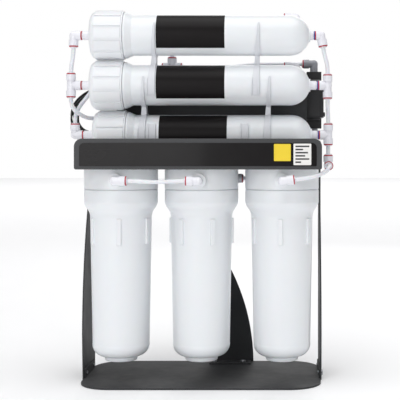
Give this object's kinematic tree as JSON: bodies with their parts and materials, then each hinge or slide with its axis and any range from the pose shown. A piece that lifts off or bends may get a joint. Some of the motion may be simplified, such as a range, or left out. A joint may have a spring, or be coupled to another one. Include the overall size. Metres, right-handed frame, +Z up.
{
  "type": "reverse osmosis unit",
  "caption": "Floor-standing reverse osmosis water unit: screw-in filter bowls under a steel deck, membrane housings in clips above it, a booster pump behind, and push-fit plumbing between them.",
  "frame": {"origin": "on the underside of the base plate, on the axis of the middle filter bowl", "axes": "+Z up, +X to the right seen from the front panel, -Y towards the front panel"},
  "size_m": [0.416, 0.2325, 0.5766],
  "materials": {
    "steel": "satin powder coat, fine orange-peel grain",
    "panel": "satin powder coat",
    "gloss_label": "gloss film",
    "screw": "zinc plated",
    "white_plastic": "moulded, lightly glossy",
    "white_fitting": "moulded acetal",
    "grey_fitting": "moulded acetal",
    "clip_plastic": "moulded, satin",
    "red_clip": "moulded",
    "blue_clip": "moulded",
    "tube": "milky polyethylene",
    "seal": "smooth",
    "filter_media": "melt-blown fibre",
    "membrane_media": "tape-wound",
    "paper_label": "printed film, matt",
    "pump_black": "moulded, satin",
    "motor_steel": "satin paint",
    "rotor_steel": "turned",
    "controller": "moulded, textured",
    "cable": "flexible insulation"
  },
  "bodies": {
    "frame": {"back_plate": "steel", "base_plate": "steel", "blue_locking_clips": "blue_clip", "brine_fittings": "white_fitting", "brine_tubes": "tube", "cap_seals": "seal", "collets": "white_fitting", "controller_box": "controller", "drain_outlet_fitting": "white_fitting", "feed_inlet_fitting": "white_fitting", "feed_tubes": "tube", "filter_head_1": "white_plastic", "filter_head_2": "white_plastic", "filter_head_3": "white_plastic", "flow_restrictor": "white_fitting", "frame_screws": "screw", "front_elbows": "white_fitting", "front_panel": "panel", "front_tubes": "tube", "housing_labels": "paper_label", "left_fittings": "white_fitting", "left_side_plate": "steel", "lower_clips": "clip_plastic", "membrane_cap_1": "white_plastic", "membrane_cap_2": "white_plastic", "membrane_cap_3": "white_plastic", "membrane_elements": "membrane_media", "membrane_housing_1": "white_plastic", "membrane_housing_2": "white_plastic", "membrane_housing_3": "white_plastic", "middle_clips": "clip_plastic", "panel_label": "gloss_label", "permeate_outlet_fitting": "white_fitting", "port_adapters": "white_fitting", "pump_cradle": "motor_steel", "pump_elbows": "grey_fitting", "pump_head": "pump_black", "pump_motor": "motor_steel", "rear_leg": "steel", "red_locking_clips": "red_clip", "right_fittings": "white_fitting", "right_side_plate": "steel", "right_tubes": "tube", "solenoid_valve": "pump_black", "suction_fittings": "white_fitting", "suction_tubes": "tube", "top_deck": "steel", "upper_clips": "clip_plastic", "wire_harness": "cable"},
    "bowl_seal_1": {"sump_seal_1": "seal"},
    "bowl_1": {"sump_1": "white_plastic", "cartridge_1": "filter_media"},
    "bowl_seal_2": {"sump_seal_2": "seal"},
    "bowl_2": {"sump_2": "white_plastic", "cartridge_2": "filter_media"},
    "bowl_seal_3": {"sump_seal_3": "seal"},
    "bowl_3": {"sump_3": "white_plastic", "cartridge_3": "filter_media"},
    "pump_rotor": {"pump_rotor": "rotor_steel"},
    "valve_plunger": {"solenoid_plunger": "rotor_steel"}
  },
  "joints": [
    {"name": "bowl_1_lower", "type": "slide", "parent": "frame", "child": "bowl_seal_1", "axis": [0, 0, -1], "range_m": [0, 0.018]},
    {"name": "bowl_1_unscrew", "type": "hinge", "parent": "bowl_seal_1", "child": "bowl_1", "pos_m": [-0.125, 0, 0.28], "axis": [0, 0, -1], "range_deg": [0, 1080]},
    {"name": "bowl_2_lower", "type": "slide", "parent": "frame", "child": "bowl_seal_2", "axis": [0, 0, -1], "range_m": [0, 0.018]},
    {"name": "bowl_2_unscrew", "type": "hinge", "parent": "bowl_seal_2", "child": "bowl_2", "pos_m": [0, 0, 0.28], "axis": [0, 0, -1], "range_deg": [0, 1080]},
    {"name": "bowl_3_lower", "type": "slide", "parent": "frame", "child": "bowl_seal_3", "axis": [0, 0, -1], "range_m": [0, 0.018]},
    {"name": "bowl_3_unscrew", "type": "hinge", "parent": "bowl_seal_3", "child": "bowl_3", "pos_m": [0.125, 0, 0.28], "axis": [0, 0, -1], "range_deg": [0, 1080]},
    {"name": "pump_shaft_turn", "type": "hinge", "parent": "frame", "child": "pump_rotor", "pos_m": [0.1, 0.105, 0.442], "axis": [1, 0, 0], "continuous": true},
    {"name": "valve_plunger_drop", "type": "slide", "parent": "frame", "child": "valve_plunger", "axis": [0, 0, -1], "range_m": [0, 0.0025], "stiffness_N_per_m": 300, "springref_m": -0.002}
  ],
  "couplings": [
    {"joint": "bowl_1_lower", "follows": "bowl_1_unscrew", "m_per_rad": 0.00095493},
    {"joint": "bowl_2_lower", "follows": "bowl_2_unscrew", "m_per_rad": 0.00095493},
    {"joint": "bowl_3_lower", "follows": "bowl_3_unscrew", "m_per_rad": 0.00095493}
  ]
}
